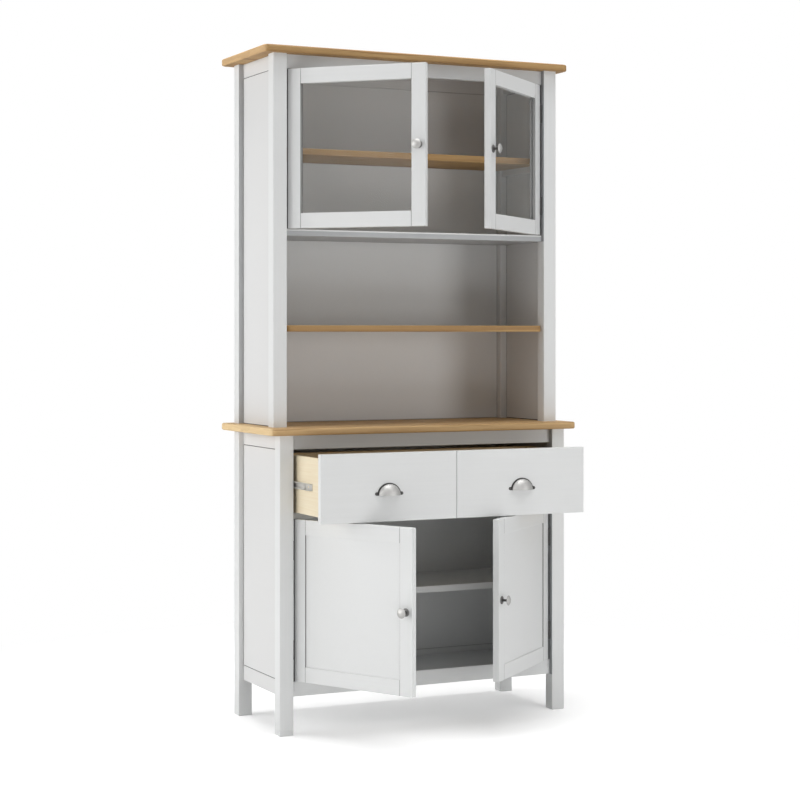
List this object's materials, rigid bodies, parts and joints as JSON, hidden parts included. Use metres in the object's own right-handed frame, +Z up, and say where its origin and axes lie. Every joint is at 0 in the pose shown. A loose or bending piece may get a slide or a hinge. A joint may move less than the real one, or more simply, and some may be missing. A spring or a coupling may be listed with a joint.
{
  "type": "dresser with hutch",
  "caption": "Painted dresser with a hutch: glazed upper doors, open shelf, oak tops, one wide drawer with cup handles and a panelled cupboard below.",
  "frame": {"origin": "on the floor, under the middle of the four legs", "axes": "+X to the right as seen from the front, the front faces -Y, +Z up"},
  "size_m": [0.966, 0.7334, 1.902],
  "materials": {
    "painted_wood": "matte",
    "oak": "satin",
    "pine": "matte",
    "clear_glass": "clear",
    "brushed_nickel": "brushed",
    "hardware_steel": "brushed",
    "hinge_enamel": "satin",
    "catch_plastic": "matte"
  },
  "bodies": {
    "carcass": {"base_leg_front_left": "painted_wood", "base_leg_front_right": "painted_wood", "base_leg_back_left": "painted_wood", "base_leg_back_right": "painted_wood", "hutch_post_front_left": "painted_wood", "hutch_post_front_right": "painted_wood", "hutch_post_back_left": "painted_wood", "hutch_post_back_right": "painted_wood", "base_side_rails": "painted_wood", "base_front_rails": "painted_wood", "base_back_rails": "painted_wood", "base_side_panels": "painted_wood", "base_back_panel": "painted_wood", "base_shelf": "painted_wood", "base_floor": "painted_wood", "drawer_divider": "painted_wood", "hutch_side_rails": "painted_wood", "hutch_front_rail": "painted_wood", "hutch_back_rail": "painted_wood", "hutch_side_panels": "painted_wood", "hutch_back_panel": "painted_wood", "cabinet_floor": "painted_wood", "shelf_cleats": "painted_wood", "runner_battens": "painted_wood", "worktop": "oak", "top_board": "oak", "cabinet_shelf": "oak", "open_shelf": "oak", "dowels": "pine", "runner_cabinet_members": "hardware_steel", "wall_brackets": "hardware_steel", "hinge_post_leaves": "hinge_enamel", "hinge_pins": "hinge_enamel", "door_catches": "catch_plastic"},
    "drawer": {"drawer_front": "painted_wood", "drawer_sides": "pine", "drawer_back": "pine", "drawer_bottom": "pine", "cup_handles": "brushed_nickel", "handle_screws": "brushed_nickel", "runner_drawer_members": "hardware_steel"},
    "runner_middles": {"runner_middle_members": "hardware_steel"},
    "upper_left_door": {"upper_left_door_frame": "painted_wood", "upper_left_door_beads": "painted_wood", "upper_left_door_glass": "clear_glass", "upper_left_door_knob": "brushed_nickel", "upper_left_door_fittings": "hinge_enamel"},
    "upper_right_door": {"upper_right_door_frame": "painted_wood", "upper_right_door_beads": "painted_wood", "upper_right_door_glass": "clear_glass", "upper_right_door_knob": "brushed_nickel", "upper_right_door_fittings": "hinge_enamel"},
    "lower_left_door": {"lower_left_door_frame": "painted_wood", "lower_left_door_panel": "painted_wood", "lower_left_door_knob": "brushed_nickel", "lower_left_door_fittings": "hinge_enamel"},
    "lower_right_door": {"lower_right_door_frame": "painted_wood", "lower_right_door_panel": "painted_wood", "lower_right_door_knob": "brushed_nickel", "lower_right_door_fittings": "hinge_enamel"}
  },
  "joints": [
    {"name": "drawer_slide", "type": "slide", "parent": "carcass", "child": "drawer", "axis": [0, -1, 0], "range_m": [-0.1965, 0.0535]},
    {"name": "runner_middle_slide", "type": "slide", "parent": "carcass", "child": "runner_middles", "axis": [0, -1, 0], "range_m": [-0.0983, 0.0268]},
    {"name": "upper_left_door_hinge", "type": "hinge", "parent": "carcass", "child": "upper_left_door", "pos_m": [-0.4071, -0.1167, 1.61875], "axis": [0, 0, -1], "range_deg": [-44.8, 75.2]},
    {"name": "upper_right_door_hinge", "type": "hinge", "parent": "carcass", "child": "upper_right_door", "pos_m": [0.4071, -0.1167, 1.61875], "axis": [0, 0, 1], "range_deg": [-40.3, 79.7]},
    {"name": "lower_left_door_hinge", "type": "hinge", "parent": "carcass", "child": "lower_left_door", "pos_m": [-0.4071, -0.1647, 0.3705], "axis": [0, 0, -1], "range_deg": [-62.7, 57.3]},
    {"name": "lower_right_door_hinge", "type": "hinge", "parent": "carcass", "child": "lower_right_door", "pos_m": [0.4071, -0.1647, 0.3705], "axis": [0, 0, 1], "range_deg": [-40.4, 79.6]}
  ],
  "couplings": [
    {"joint": "runner_middle_slide", "follows": "drawer_slide", "ratio": 0.5}
  ]
}
